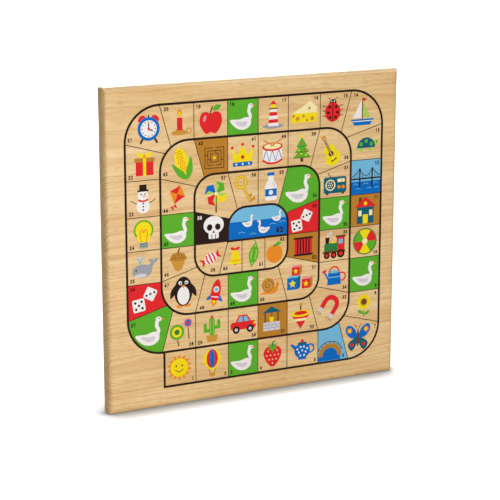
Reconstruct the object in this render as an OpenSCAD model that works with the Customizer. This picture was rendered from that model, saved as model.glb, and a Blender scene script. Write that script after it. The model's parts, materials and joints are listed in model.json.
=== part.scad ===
// A wooden board for two traditional race games. The panel is glued up from pine staves whose grain
// runs across the board. The front carries a goose track, a square spiral of 63 squares, and the
// back a parcheesi court, a cross of 68 squares with four yards. Both are printed in ink films.
// The board stands on its lower edge: +X to the right, +Z up, and the front faces -Y.
// The origin is the middle of the lower edge. All sizes are in millimetres.

/* [Panel] */
// Side of the square board
board_size = 400; // [385:1:480]
// Thickness of the panel
panel_t = 20; // [15:0.5:26]
// Round-over along the edges of both faces
edge_r = 6; // [2:0.5:7]
// Rounding of the four corners, seen from the front
corner_r = 4; // [1:0.5:8]
// Number of staves that are glued edge to edge
stave_count = 8; // [5:1:10]
// Thickness of a glue line between two staves
glue_t = 0.1; // [0.05:0.05:0.3]

/* [Ink] */
// Thickness of a printed ink film
ink_t = 0.1; // [0.05:0.05:0.3]
// How far the goose track sits to the right of the panel's middle
track_offset_x = 2; // [-3:0.5:3]
// How far the goose track sits above the panel's middle
track_offset_z = 1; // [-3:0.5:3]

/* [Goose track] */
// Width of the track's three lanes
lane_w = 44.7; // [38:0.1:46]
// Side of the squares in the middle block
core_w = 41.3; // [36:0.1:44]
// Radius of the first winding's turns
outer_turn_r = 45; // [34:1:50]
// Radius of the second winding's turns
middle_turn_r = 37; // [30:1:42]
// Radius of the third winding's turns
inner_turn_r = 27; // [20:1:32]
// Radius of the turns round the goal
core_turn_r = 25; // [16:1:30]
// How far the lines beside a turn lean away from its inner corner
fan_shift = 12.5; // [6:0.5:15]
// How far the start line stands in from the end of the first lane
start_inset = 2.5; // [0:0.5:5]
// Width of the spiral line between the lanes
lane_line_w = 2.8; // [1.4:0.1:3.4]
// Width of the lines between the squares
divider_w = 0.9; // [0.5:0.1:1.6]
// Height of the sky in the goal, from its water line to its upper line
goal_sky_h = 18.3; // [11:0.1:26]
// Height of the water line in the viaduct's square, from its lower line
river_h = 17; // [10:1:26]

/* [Parcheesi court] */
// Length of a court square, across its arm
court_square_l = 32; // [26:0.5:33]
// Width of a court square, along its arm
court_square_w = 16; // [12:0.5:16.5]
// Width of the court's lines
court_line_w = 1.2; // [0.8:0.1:2]
// Diameter of the bare disc in a yard
yard_disc_d = 92; // [70:1:94]
// Diameter of a token's spot in a yard
token_spot_d = 24; // [16:1:26]
// Distance between the middles of two neighbouring token spots
token_pitch = 36; // [30:1:38]
// Outer diameter of the ring on a safe square
safe_ring_d = 11; // [8:0.5:11]
// Width of the ring on a safe square
safe_ring_w = 1.6; // [0.8:0.1:2.5]

/* [Hidden] */
$fn = 96;

COURT_COLOURS = ["red", "blue", "yellow", "green"];

stave_h = board_size / stave_count;

// The spiral's turning points, in steps of the track's grid, from the outside to the goal
SPIRAL = [
    [1, 0], [8, 0], [8, 8], [0, 8], [0, 1], [7, 1], [7, 7], [1, 7], [1, 2],
    [6, 2], [6, 6], [2, 6], [2, 3], [5, 3], [5, 5], [3, 5], [3, 4], [5, 4]
];
TURN_RADII = [outer_turn_r, middle_turn_r, inner_turn_r, core_turn_r];
LAST_ROUND_TURN = 15;
LAST_TURN_CELL = 12;
TURNS_PER_WINDING = 4;
LANES = 3;
CORE_SQUARES = 2;

// Squares that have a coloured ground, by their number on the track
GOOSE_SQUARES = [3, 9, 18, 27, 36, 45, 49, 54];
DICE_SQUARES = [26, 53];
BRIDGE_SQUARE = 6;
VIADUCT_SQUARE = 12;
HAZARD_SQUARES = [11, 31, 42, 52];
SKULL_SQUARE = 58;

track_size = 2 * LANES * lane_w + CORE_SQUARES * core_w;
// A line that leans runs on this far past the lane, until the next winding's turn cuts it
lean_reach = lane_w / 3;

// Squares along one side of an arm, and across it
ARM_SQUARES = 8;
ARM_LANES = 3;
SAFE_ROW = 5;
arm_w = ARM_LANES * court_square_l;
arm_l = ARM_SQUARES * court_square_w;
court_size = arm_w + 2 * arm_l;

PINE = "#dcb57b";
GLUE = "#b98f52";
BLACK_INK = "#1b0e08";
GREEN_INK = "#5aab2a";
RED_INK = "#df2529";
SKY_INK = "#74b8da";
WATER_INK = "#0069bd";
BROWN_INK = "#b07a2c";
COURT_INKS = [RED_INK, WATER_INK, "#f3d912", GREEN_INK];

function unit(v) = v / norm(v);

// Shared shapes

module rounded_rect(size, r) {
    square([size.x - 2 * r, size.y], center = true);
    square([size.x, size.y - 2 * r], center = true);
    for (x = [-1, 1], y = [-1, 1])
        translate([x * (size.x / 2 - r), y * (size.y / 2 - r)]) circle(r);
}

// A straight stroke between two points
module stroke(from, to, w) {
    run = to - from;
    translate(from) rotate(atan2(run.y, run.x)) translate([0, -w / 2]) square([norm(run), w]);
}

module ring(d, w) {
    difference() {
        circle(d = d);
        circle(d = d - 2 * w);
    }
}

// Flat drawings, in X and Z of the board, become films on a face
module front_ink() {
    translate([0, -panel_t / 2, 0]) rotate([90, 0, 0]) linear_extrude(ink_t) children();
}

module back_ink() {
    rotate([0, 0, 180]) front_ink() children();
}

// Panel

module panel_blank() {
    intersection() {
        translate([0, 0, board_size / 2]) rotate([90, 0, 0])
            linear_extrude(panel_t, center = true) rounded_rect([board_size, board_size], corner_r);
        linear_extrude(board_size) rounded_rect([board_size, panel_t], edge_r);
        translate([0, 0, board_size / 2]) rotate([90, 0, 90])
            linear_extrude(board_size, center = true) rounded_rect([panel_t, board_size], edge_r);
    }
}

// A slice of the panel between two heights
module slice(from, to) {
    intersection() {
        panel_blank();
        translate([-board_size / 2, -panel_t / 2, from]) cube([board_size, panel_t, to - from]);
    }
}

module stave(i) {
    lower = (i - 1) * stave_h + (i > 1 ? glue_t / 2 : 0);
    upper = i * stave_h - (i < stave_count ? glue_t / 2 : 0);
    color(PINE) slice(lower, upper);
}

module glue_lines() {
    color(GLUE)
        for (i = [1 : stave_count - 1]) slice(i * stave_h - glue_t / 2, i * stave_h + glue_t / 2);
}

// Goose track: the grid, the spiral and its squares

function grid_line(n) =
    n <= LANES ? n * lane_w
    : n <= LANES + CORE_SQUARES ? LANES * lane_w + (n - LANES) * core_w
    : (n - CORE_SQUARES) * lane_w + CORE_SQUARES * core_w;
function grid_point(p) = [
    track_offset_x - track_size / 2 + grid_line(p.x),
    track_offset_z + board_size / 2 - track_size / 2 + grid_line(p.y)
];
function turn_point(i) = grid_point(SPIRAL[i]);
function turn_r(i) = TURN_RADII[floor((i - 1) / TURNS_PER_WINDING)];
function is_round(i) = i > 0 && i <= LAST_ROUND_TURN;

// Leg j runs from turn j to turn j + 1, with the middle of the board on its left
function leg_dir(j) = unit(SPIRAL[j + 1] - SPIRAL[j]);
function leg_left(j) = [-leg_dir(j).y, leg_dir(j).x];
function leg_steps(j) = norm(SPIRAL[j + 1] - SPIRAL[j]);
function turn_centre(i) = turn_point(i) + (leg_dir(i) - leg_dir(i - 1)) * turn_r(i);

// The leg and the step at which each square starts; the last step of a leg is its turn's square
SQUARES = [
    for (j = [0 : LAST_TURN_CELL - 1])
        each [for (s = [j == 0 ? 0 : 1 : leg_steps(j) - 1]) [j, s]]
];
function is_turn_square(square) = square[1] == leg_steps(square[0]) - 1;

// Ends of the line across the lane, s steps along leg j; the lines beside a turn lean
function outer_end(j, s) = grid_point(SPIRAL[j] + s * leg_dir(j));
function leaves_turn(j, s) = j > 0 && s == 1;
function meets_turn(j, s) = j < LAST_TURN_CELL - 1 && s == leg_steps(j) - 1;
function lean(j, s) = leaves_turn(j, s) ? fan_shift : meets_turn(j, s) ? -fan_shift : 0;
function inner_end(j, s) = grid_point(SPIRAL[j] + s * leg_dir(j) + leg_left(j)) + lean(j, s) * leg_dir(j);
function reached_end(j, s) =
    lean(j, s) == 0 ? inner_end(j, s)
    : inner_end(j, s) + lean_reach * unit(inner_end(j, s) - outer_end(j, s));

// The inside of turn i, with its rounded corner
module turn_region(i) {
    r = turn_r(i);
    reach = 2 * lane_w;
    corner = turn_point(i);
    back = -leg_dir(i - 1);
    ahead = leg_dir(i);
    difference() {
        polygon([corner, corner + reach * back, corner + reach * (back + ahead), corner + reach * ahead]);
        difference() {
            polygon([corner, corner + r * back, turn_centre(i), corner + r * ahead]);
            translate(turn_centre(i)) circle(r);
        }
    }
}

module turn_arc(i) {
    reach = turn_r(i) + lane_line_w;
    a = leg_dir(i - 1) * reach;
    b = -leg_dir(i) * reach;
    translate(turn_centre(i)) intersection() {
        ring(2 * turn_r(i) + lane_line_w, lane_line_w);
        polygon([[0, 0], a, a + b, b]);
    }
}

module spiral_line() {
    for (j = [0 : len(SPIRAL) - 2]) {
        cut_from = j == 0 ? start_inset : is_round(j) ? turn_r(j) : -lane_line_w / 2;
        cut_to = is_round(j + 1) ? turn_r(j + 1) : 0;
        stroke(turn_point(j) + cut_from * leg_dir(j), turn_point(j + 1) - cut_to * leg_dir(j), lane_line_w);
    }
    for (i = [1 : LAST_ROUND_TURN]) turn_arc(i);
    start = turn_point(0) + start_inset * leg_dir(0);
    stroke(start - lane_line_w / 2 * leg_left(0), start + lane_w * leg_left(0), lane_line_w);
}

// Where the three squares before the goal are divided, along the last leg
last_leg = LAST_TURN_CELL;
last_start = turn_point(last_leg) + (lane_w - fan_shift) * leg_dir(last_leg);
last_step = (turn_point(last_leg + 1) - last_start) / 3;

module divider_lines() {
    for (j = [0 : LAST_TURN_CELL - 1], s = [1 : leg_steps(j) - 1])
        difference() {
            stroke(outer_end(j, s), reached_end(j, s), divider_w);
            if (leaves_turn(j, s)) turn_region(j + TURNS_PER_WINDING);
            if (meets_turn(j, s)) turn_region(j + 1 + TURNS_PER_WINDING);
        }
    stroke(last_start, turn_point(last_leg + TURNS_PER_WINDING), divider_w);
    for (n = [1, 2]) {
        foot = last_start + n * last_step;
        stroke(foot, foot + core_w * leg_left(last_leg), divider_w);
    }
}

// The ground of one square of the track, out to the middles of its lines
module square_ground(number) {
    square = SQUARES[number - 1];
    j = square[0];
    s = square[1];
    if (is_turn_square(square))
        difference() {
            intersection() {
                polygon([
                    outer_end(j, s), turn_point(j + 1), outer_end(j + 1, 1),
                    reached_end(j + 1, 1), reached_end(j, s)
                ]);
                turn_region(j + 1);
            }
            turn_region(j + 1 + TURNS_PER_WINDING);
        }
    else
        difference() {
            polygon([outer_end(j, s), outer_end(j, s + 1), reached_end(j, s + 1), reached_end(j, s)]);
            if (leaves_turn(j, s)) turn_region(j + TURNS_PER_WINDING);
            if (meets_turn(j, s + 1)) turn_region(j + 1 + TURNS_PER_WINDING);
        }
}

// The goal lies inside the last two round turns
goal_corner = turn_point(LAST_ROUND_TURN + 1);
goal_w = CORE_SQUARES * core_w;

module goal_ground() {
    intersection() {
        translate(goal_corner) square([goal_w, core_w]);
        turn_region(LAST_ROUND_TURN);
        turn_region(LAST_ROUND_TURN - 1);
    }
}

// A band across the board, from a point of the track up to a height above it
module band_above(point, h) {
    translate([-board_size / 2, point.y]) square([board_size, h]);
}

module viaduct_water() {
    lower_line = outer_end(SQUARES[VIADUCT_SQUARE - 1][0], SQUARES[VIADUCT_SQUARE - 1][1]);
    intersection() {
        square_ground(VIADUCT_SQUARE);
        band_above(lower_line, river_h);
    }
}

module goal_water() {
    intersection() {
        goal_ground();
        band_above(goal_corner, core_w - goal_sky_h);
    }
}

// Grounds stop at the lines that bound them
module between_lines() {
    difference() {
        children();
        spiral_line();
        divider_lines();
    }
}

module lane_line() {
    color(BLACK_INK) front_ink() spiral_line();
}

module square_dividers() {
    color(BLACK_INK) front_ink() difference() {
        divider_lines();
        spiral_line();
    }
}

module square_grounds(numbers, ink) {
    color(ink) front_ink() between_lines() for (number = numbers) square_ground(number);
}

module sky_fields() {
    color(SKY_INK) front_ink() difference() {
        between_lines() {
            square_ground(BRIDGE_SQUARE);
            square_ground(VIADUCT_SQUARE);
            goal_ground();
        }
        viaduct_water();
        goal_water();
    }
}

module water_fields() {
    color(WATER_INK) front_ink() between_lines() {
        viaduct_water();
        goal_water();
    }
}

// Parcheesi court: one quarter is drawn, and turned for the others

module court_quarter(quarter) {
    translate([0, board_size / 2]) rotate(-90 * quarter) children();
}

// Lines of the arm that runs up from the middle, and of the yard to its left
module quarter_lines() {
    side = arm_w / 2;
    far = court_size / 2;
    for (x = [-side, -court_square_l / 2, court_square_l / 2, side])
        stroke([x, side], [x, far], court_line_w);
    for (n = [0 : ARM_SQUARES - 1])
        stroke([-side, side + n * court_square_w], [side, side + n * court_square_w], court_line_w);
    stroke([-far - court_line_w / 2, far], [far + court_line_w / 2, far], court_line_w);
    stroke([0, 0], [side, side], court_line_w);
}

module court_line_drawing() {
    for (quarter = [0 : 3]) court_quarter(quarter) quarter_lines();
}

module yard_ground() {
    middle = (arm_w + arm_l) / 2;
    translate([-middle, middle]) {
        difference() {
            square(arm_l, center = true);
            circle(d = yard_disc_d);
        }
        for (x = [-1, 1], z = [-1, 1]) translate([x, z] * token_pitch / 2) circle(d = token_spot_d);
    }
}

// A court square, by its lane across the arm and its row from the far end of the arm
module court_square(lane, row) {
    translate([lane * court_square_l, court_size / 2 - (row - 0.5) * court_square_w])
        square([court_square_l, court_square_w], center = true);
}

module home_lane_ground() {
    for (row = [2 : ARM_SQUARES]) court_square(0, row);
    court_square(-1, SAFE_ROW);
    polygon([[0, 0], [arm_w / 2, arm_w / 2], [-arm_w / 2, arm_w / 2]]);
}

module safe_rings_drawing() {
    for (quarter = [0 : 3], place = [[0, 1], [-1, SAFE_ROW], [1, SAFE_ROW]])
        court_quarter(quarter)
            translate([place[0] * court_square_l, court_size / 2 - (place[1] - 0.5) * court_square_w])
                ring(safe_ring_d, safe_ring_w);
}

module court_lines() {
    color(BLACK_INK) back_ink() court_line_drawing();
}

module safe_rings() {
    color(BLACK_INK) back_ink() safe_rings_drawing();
}

module yard(quarter) {
    color(COURT_INKS[quarter]) back_ink() difference() {
        court_quarter(quarter) yard_ground();
        court_line_drawing();
    }
}

module home_lane(quarter) {
    color(COURT_INKS[quarter]) back_ink() difference() {
        court_quarter(quarter) home_lane_ground();
        court_line_drawing();
        safe_rings_drawing();
    }
}

for (i = [1 : stave_count])
    stave(i);
glue_lines();
lane_line();
square_dividers();
square_grounds(GOOSE_SQUARES, GREEN_INK);  // goose_squares
square_grounds(DICE_SQUARES, RED_INK);  // dice_squares
sky_fields();
water_fields();
square_grounds(HAZARD_SQUARES, BROWN_INK);  // hazard_squares
square_grounds([SKULL_SQUARE], BLACK_INK);  // skull_square
court_lines();
safe_rings();
for (quarter = [0 : 3]) {
    yard(quarter);
    home_lane(quarter);
}
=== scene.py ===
import json
import math
import random

import bpy
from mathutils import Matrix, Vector


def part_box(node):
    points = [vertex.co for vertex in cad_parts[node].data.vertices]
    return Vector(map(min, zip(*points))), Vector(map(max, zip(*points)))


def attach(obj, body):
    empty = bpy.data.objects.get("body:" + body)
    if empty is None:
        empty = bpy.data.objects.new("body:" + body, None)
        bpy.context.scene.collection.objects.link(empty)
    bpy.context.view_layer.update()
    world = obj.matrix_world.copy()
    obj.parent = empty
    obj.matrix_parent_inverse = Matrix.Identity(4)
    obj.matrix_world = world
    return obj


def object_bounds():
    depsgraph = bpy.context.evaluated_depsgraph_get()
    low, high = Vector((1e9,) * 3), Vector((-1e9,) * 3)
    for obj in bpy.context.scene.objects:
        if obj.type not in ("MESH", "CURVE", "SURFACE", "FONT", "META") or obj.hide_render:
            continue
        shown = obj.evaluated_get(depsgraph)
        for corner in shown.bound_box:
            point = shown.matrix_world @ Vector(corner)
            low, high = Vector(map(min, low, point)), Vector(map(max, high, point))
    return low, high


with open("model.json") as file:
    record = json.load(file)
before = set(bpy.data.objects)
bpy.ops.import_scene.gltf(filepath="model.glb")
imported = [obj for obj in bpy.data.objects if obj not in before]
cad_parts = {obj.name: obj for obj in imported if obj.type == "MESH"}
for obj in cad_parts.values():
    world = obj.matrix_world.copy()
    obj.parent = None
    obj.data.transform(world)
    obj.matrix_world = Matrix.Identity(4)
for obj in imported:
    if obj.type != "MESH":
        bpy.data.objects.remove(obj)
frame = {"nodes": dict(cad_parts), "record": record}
cad_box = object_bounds()

MM = 0.001
BODY = "root"

# Sizes that the frame gives, in millimetres
panel_low, panel_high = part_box("stave_1")
FRONT_Y = panel_low.y / MM
BACK_Y = panel_high.y / MM
BOARD = (cad_box[1].z - cad_box[0].z) / MM
FILM = FRONT_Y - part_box("lane_line")[0].y / MM
STAVES = [name for name in frame["nodes"] if name.startswith("stave_")]

# Inks, as they look in plain light. The record's slot for each is its name with _ink after it
INKS = {
    "black": "#200d03",
    "white": "#f1ebe7",
    "pearl": "#d3ccd0",
    "grey": "#9c9ca2",
    "red": "#df2529",
    "pink": "#ea8b93",
    "blue": "#0069bd",
    "light_blue": "#74b8da",
    "teal": "#0c5b70",
    "yellow": "#f3d912",
    "cream": "#f6e6ac",
    "orange": "#ea8a20",
    "green": "#5aab2a",
    "dark_green": "#2c7a3c",
    "lime": "#a9cd58",
    "ochre": "#cb9038",
    "brown": "#b87e2a",
    "dark_brown": "#6a3c1a",
}
# Wear of an ink: its shade, and how much of it the fibres and a soft cloud bring out
INK_WORN, INK_FIBRE_WEAR, INK_CLOUD_WEAR = 0.88, 0.5, 0.3
INK_ROUGHNESS, INK_BUMP, INK_GLOSS = (0.45, 0.58), 0.08, 0.1

PINE_PALE, PINE_DARK, PINE_LATE = "#e7c78e", "#d6ad6b", "#bd8442"
# The end-grain tint, last here, is partly end grain's own darker tone and partly painted shade on the
# rounded edges
PINE_FIBRE, PINE_FLECK, PINE_END_TINT_AND_SHADE = "#a87238", "#b4762f", "#d8d5d0"
PINE_ROUGHNESS, END_ROUGHNESS, PINE_BUMP, PINE_GLOSS = (0.32, 0.42), 0.36, 0.12, 0.8
FIBRE_SHARE, FLECK_SHARE, LATE_HEIGHT = (0.0, 0.09), (-0.6, 0.42), 0.5
# What each stave draws, in millimetres and degrees, and how far its noises are moved
PITH_DEPTH, PITH_RISE, RING_WIDTH, GRAIN_LEAN = (25, 60), (-60, 60), (3.0, 4.6), (-5, 5)
GRAIN_STEP = (3.7, 1.3, 2.1)
# Growth rings: waver in millimetres, shades across one, a year's strength, stretch along a stave
RING_WAVER, RING_SHADES = 14, ((0.4, 0.15), (0.75, 0.7), (0.9, 1.0))
YEAR_LEAST, YEAR_SPREAD, RING_STRETCH = 0.04, 0.55, (0.02, 1.0, 1.0)
# A surface that faces a stave's length at least this much is all end grain. Below that the end-grain
# tint grades off over the rounded edges, which paints shade on them
END_FACING = 0.8

GLUE_PALE, GLUE_DARK, GLUE_ROUGHNESS, GLUE_BUMP = "#c08e4e", "#a8753a", (0.3, 0.45), 0.05

# Noises: swells per metre along the board, through it and up it, and detail
WAVER, BANDS = (5.0, 22.0, 22.0, 2.0), (8.0, 75.0, 75.0, 2.0)
FIBRES, FLECKS = (45.0, 900.0, 900.0, 3.0), (70.0, 900.0, 900.0, 1.0)
INK_CLOUD, GLUE_CLOUD = (60.0, 60.0, 60.0, 2.0), (200.0, 200.0, 200.0, 2.0)
# Most of a noise lies between these levels
NOISE_LOW, NOISE_HIGH = 0.3, 0.7
BUMP_DEPTH = 0.1 * MM


def new_object(data):
    """A new object in the scene, with the name of its data."""
    made = bpy.data.objects.new(data.name, data)
    bpy.context.scene.collection.objects.link(made)
    return made


# Materials

def linear(hex_code):
    """The scene's linear colour of an sRGB hex code."""
    channels = [int(hex_code[i:i + 2], 16) / 255 for i in (1, 3, 5)]
    return [c / 12.92 if c <= 0.04045 else ((c + 0.055) / 1.055) ** 2.4 for c in channels] + [1.0]


class Nodes:
    """Adds nodes to a new material or world. An input takes a plain value or another node's output."""

    def __init__(self, owner):
        self.owner = owner
        owner.use_nodes = True
        self.tree = owner.node_tree
        self.tree.nodes.clear()

    def fill(self, socket, value):
        if isinstance(value, bpy.types.NodeSocket):
            self.tree.links.new(value, socket)
        else:
            socket.default_value = value

    def add(self, kind, inputs=None, **settings):
        made = self.tree.nodes.new(kind)
        for name, value in settings.items():
            setattr(made, name, value)
        for name, value in (inputs or {}).items():
            self.fill(made.inputs[name], value)
        return made

    def out(self, kind, inputs=None, **settings):
        """The first output of a new node."""
        return self.add(kind, inputs, **settings).outputs[0]

    def math(self, operation, *values):
        return self.out("ShaderNodeMath", dict(enumerate(values)), operation=operation)

    def vector(self, operation, *values):
        made = self.add("ShaderNodeVectorMath", dict(enumerate(values)), operation=operation)
        return made.outputs["Value" if operation == "LENGTH" else "Vector"]

    def mix(self, share, a, b, blend="MIX"):
        made = self.add("ShaderNodeMix", data_type="RGBA", blend_type=blend)
        for socket, value in zip([s for s in made.inputs if s.enabled], (share, a, b)):
            self.fill(socket, value)
        return next(s for s in made.outputs if s.enabled)


class MaterialNodes(Nodes):
    """The nodes of a new material, placed by its object's coordinates."""

    def __init__(self, name):
        super().__init__(bpy.data.materials.new(name))
        coordinates = self.add("ShaderNodeTexCoord").outputs
        self.place, self.facing = coordinates["Object"], coordinates["Normal"]

    def noise(self, kind, shift=(0.0, 0.0, 0.0)):
        """Noise from 0 to 1."""
        *swells, detail = kind
        place = self.vector("MULTIPLY", self.vector("ADD", self.place, shift), swells)
        return self.out("ShaderNodeTexNoise", {"Vector": place, "Scale": 1.0, "Detail": detail})

    def spread(self, noise, low, high):
        """Noise mapped to a range."""
        inputs = {"Value": noise, "From Min": NOISE_LOW, "From Max": NOISE_HIGH}
        return self.out("ShaderNodeMapRange", {**inputs, "To Min": low, "To Max": high})

    def surface(self, colour, roughness, height, bump, **constants):
        relief = {"Height": height, "Strength": bump, "Distance": BUMP_DEPTH}
        normal = self.out("ShaderNodeBump", relief)
        inputs = {"Base Color": colour, "Roughness": roughness, "Normal": normal, **constants}
        self.add("ShaderNodeOutputMaterial", {"Surface": self.out("ShaderNodeBsdfPrincipled", inputs)})
        return self.owner


def late_wood(nodes, pith, ring_width, shift):
    """The dark part of the growth rings round a pith, from 0 to 1."""
    waver = nodes.math("SUBTRACT", nodes.noise(WAVER, shift), 0.5)
    from_pith = nodes.vector("MULTIPLY", nodes.vector("SUBTRACT", nodes.place, pith), RING_STRETCH)
    bend = nodes.math("MULTIPLY", waver, RING_WAVER * MM)
    ring = nodes.math("DIVIDE", nodes.math("ADD", nodes.vector("LENGTH", from_pith), bend), ring_width)
    year = nodes.out("ShaderNodeTexWhiteNoise", {"W": nodes.math("FLOOR", ring)}, noise_dimensions="1D")
    ramp = nodes.add("ShaderNodeValToRGB", {"Fac": nodes.math("FRACT", ring)})
    shades = ramp.color_ramp.elements
    for place, level in RING_SHADES:
        shades.new(place).color = (level, level, level, 1)
    for end in (0, -1):
        shades[end].color = (0, 0, 0, 1)
    strength = nodes.math("MULTIPLY_ADD", year, YEAR_SPREAD, YEAR_LEAST)
    return nodes.math("MULTIPLY", ramp.outputs["Color"], strength)


def pine(name, number):
    """Pine with growth rings round a pith outside the stave, so that its faces and ends agree."""
    chance = random.Random(number)
    low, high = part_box(name)
    side = chance.choice((-1, 1))
    depth, rise = chance.uniform(*PITH_DEPTH), chance.uniform(*PITH_RISE)
    pith = (low + high) / 2 + Vector((0, side * depth * MM, rise * MM))
    shift = [number * step for step in GRAIN_STEP]
    nodes = MaterialNodes(f"pine_{number}")
    late = late_wood(nodes, pith, chance.uniform(*RING_WIDTH) * MM, shift)
    # End-grain mask, by how far a surface faces along the stave: the ends' own darker tone, and painted
    # shade where it grades over the rounded edges
    along = nodes.math("ABSOLUTE", nodes.out("ShaderNodeSeparateXYZ", {"Vector": nodes.facing}))
    end_grain_and_shade = nodes.out("ShaderNodeMapRange", {"Value": along, "From Max": END_FACING})
    late = nodes.math("MULTIPLY", late, nodes.math("ADD", end_grain_and_shade, 1.0))
    lean = (0.0, math.radians(chance.uniform(*GRAIN_LEAN)), 0.0)
    nodes.place = nodes.out("ShaderNodeMapping", {"Vector": nodes.place, "Rotation": lean})
    fibres = nodes.noise(FIBRES, shift)
    flecks = nodes.spread(nodes.noise(FLECKS, shift), *FLECK_SHARE)
    bands = nodes.spread(nodes.noise(BANDS, shift), 0.0, 1.0)
    colour = nodes.mix(bands, linear(PINE_PALE), linear(PINE_DARK))
    colour = nodes.mix(late, colour, linear(PINE_LATE))
    colour = nodes.mix(nodes.spread(fibres, *FIBRE_SHARE), colour, linear(PINE_FIBRE))
    colour = nodes.mix(nodes.math("MAXIMUM", flecks, 0.0), colour, linear(PINE_FLECK))
    # The end tint darkens the ends, and, graded, paints shade on the rounded edges
    colour = nodes.mix(end_grain_and_shade, colour, linear(PINE_END_TINT_AND_SHADE), "MULTIPLY")
    height = nodes.math("ADD", fibres, nodes.math("MULTIPLY", late, LATE_HEIGHT))
    roughness = nodes.spread(fibres, *PINE_ROUGHNESS)
    roughness = nodes.math("MULTIPLY_ADD", end_grain_and_shade, END_ROUGHNESS, roughness)
    return nodes.surface(colour, roughness, height, PINE_BUMP, **{"Specular IOR Level": PINE_GLOSS})


def printed_ink(name):
    """An ink film, thin enough for the wood's fibres to show a little."""
    nodes = MaterialNodes(f"{name}_ink")
    fibres = nodes.noise(FIBRES)
    plain = linear(INKS[name])
    worn = [c * INK_WORN for c in plain[:3]] + [1.0]
    colour = nodes.mix(nodes.spread(fibres, 0.0, INK_FIBRE_WEAR), plain, worn)
    colour = nodes.mix(nodes.spread(nodes.noise(INK_CLOUD), 0.0, INK_CLOUD_WEAR), colour, worn)
    roughness = nodes.spread(fibres, *INK_ROUGHNESS)
    return nodes.surface(colour, roughness, fibres, INK_BUMP, **{"Specular IOR Level": INK_GLOSS})


def glue():
    """Cured wood glue, seen only as a thin line."""
    nodes = MaterialNodes("glue")
    cloud = nodes.noise(GLUE_CLOUD)
    colour = nodes.mix(nodes.spread(cloud, 0.0, 1.0), linear(GLUE_PALE), linear(GLUE_DARK))
    return nodes.surface(colour, nodes.spread(cloud, *GLUE_ROUGHNESS), cloud, GLUE_BUMP)


ink_materials = {name: printed_ink(name) for name in INKS}


def dress_frame():
    slot_of = {row["node"]: row["material_slot"] for row in frame["record"]["subparts"]}
    for name, node in frame["nodes"].items():
        if name in STAVES:
            material = pine(name, int(name.split("_")[1]))
        elif name == "glue_lines":
            material = glue()
        else:
            material = ink_materials[slot_of[name].removesuffix("_ink")]
        node.material_slots[0].material = material


dress_frame()


# Printed pictures: flat shapes in millimetres, x to the right and y up on a face of the board

LAYER = 0.02
ROUND_STEPS, CURVE_STEPS, CORNER_STEPS, CAP_STEPS, LEAF_STEPS = 28, 8, 5, 8, 12
# A stroke's corner is drawn out until the cosine of half its bend is this small
LEAST_MITRE = 0.5


def polar(r, degrees):
    angle = math.radians(degrees)
    return r * math.cos(angle), r * math.sin(angle)


def spun(points, degrees, x=0.0, y=0.0):
    """The points turned about the origin, then moved."""
    c, s = polar(1.0, degrees)
    return [(x + px * c - py * s, y + px * s + py * c) for px, py in points]


def arc_points(x, y, r, start, stop, steps=ROUND_STEPS):
    turns = [start + (stop - start) * i / steps for i in range(steps + 1)]
    return spun([polar(r, turn) for turn in turns], 0, x, y)


def smooth(points, closed):
    """A round curve through the points."""
    count = len(points)
    curve = []
    for i in range(count if closed else count - 1):
        places = (i - 1, i, i + 1, i + 2)
        near = [points[k % count if closed else min(max(k, 0), count - 1)] for k in places]
        for step in range(CURVE_STEPS):
            t = step / CURVE_STEPS
            curve.append(tuple(
                b + 0.5 * t * (c - a + t * (2 * a - 5 * b + 4 * c - d + t * (3 * (b - c) + d - a)))
                for a, b, c, d in zip(*near)
            ))
    return curve if closed else curve + [points[-1]]


def whole(*half):
    """Points with two like sides, from those of the right half."""
    return [*((-x, y) for x, y in reversed(half) if x), *half]


def signed_area(points):
    return sum(a[0] * b[1] - b[0] * a[1] for a, b in zip(points, points[1:] + points[:1])) / 2


class Face:
    """One printed face of the board. It gathers closed prisms of ink, one piece for each ink."""

    def __init__(self, name, place):
        self.name, self.place = name, place
        self.inks = {}

    def add(self, ink, points, faces, low, high):
        spots, polygons = self.inks.setdefault(ink, ([], []))
        top = len(spots)
        bottom = top + len(points)
        spots += [self.place(x, y, high) for x, y in points]
        spots += [self.place(x, y, low) for x, y in points]
        sides = [side for face in faces for side in zip(face, face[1:] + face[:1])]
        known = set(sides)
        polygons += [[top + i for i in face] for face in faces]
        polygons += [[bottom + i for i in reversed(face)] for face in faces]
        rim = [side for side in sides if side[::-1] not in known]
        polygons += [[bottom + a, bottom + b, top + b, top + a] for a, b in rim]

    def build(self):
        for ink, (spots, polygons) in self.inks.items():
            mesh = bpy.data.meshes.new(f"{self.name}_{ink}_print")
            mesh.from_pydata(spots, [], polygons)
            mesh.materials.append(ink_materials[ink])
            piece = new_object(mesh)
            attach(piece, BODY)


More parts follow.
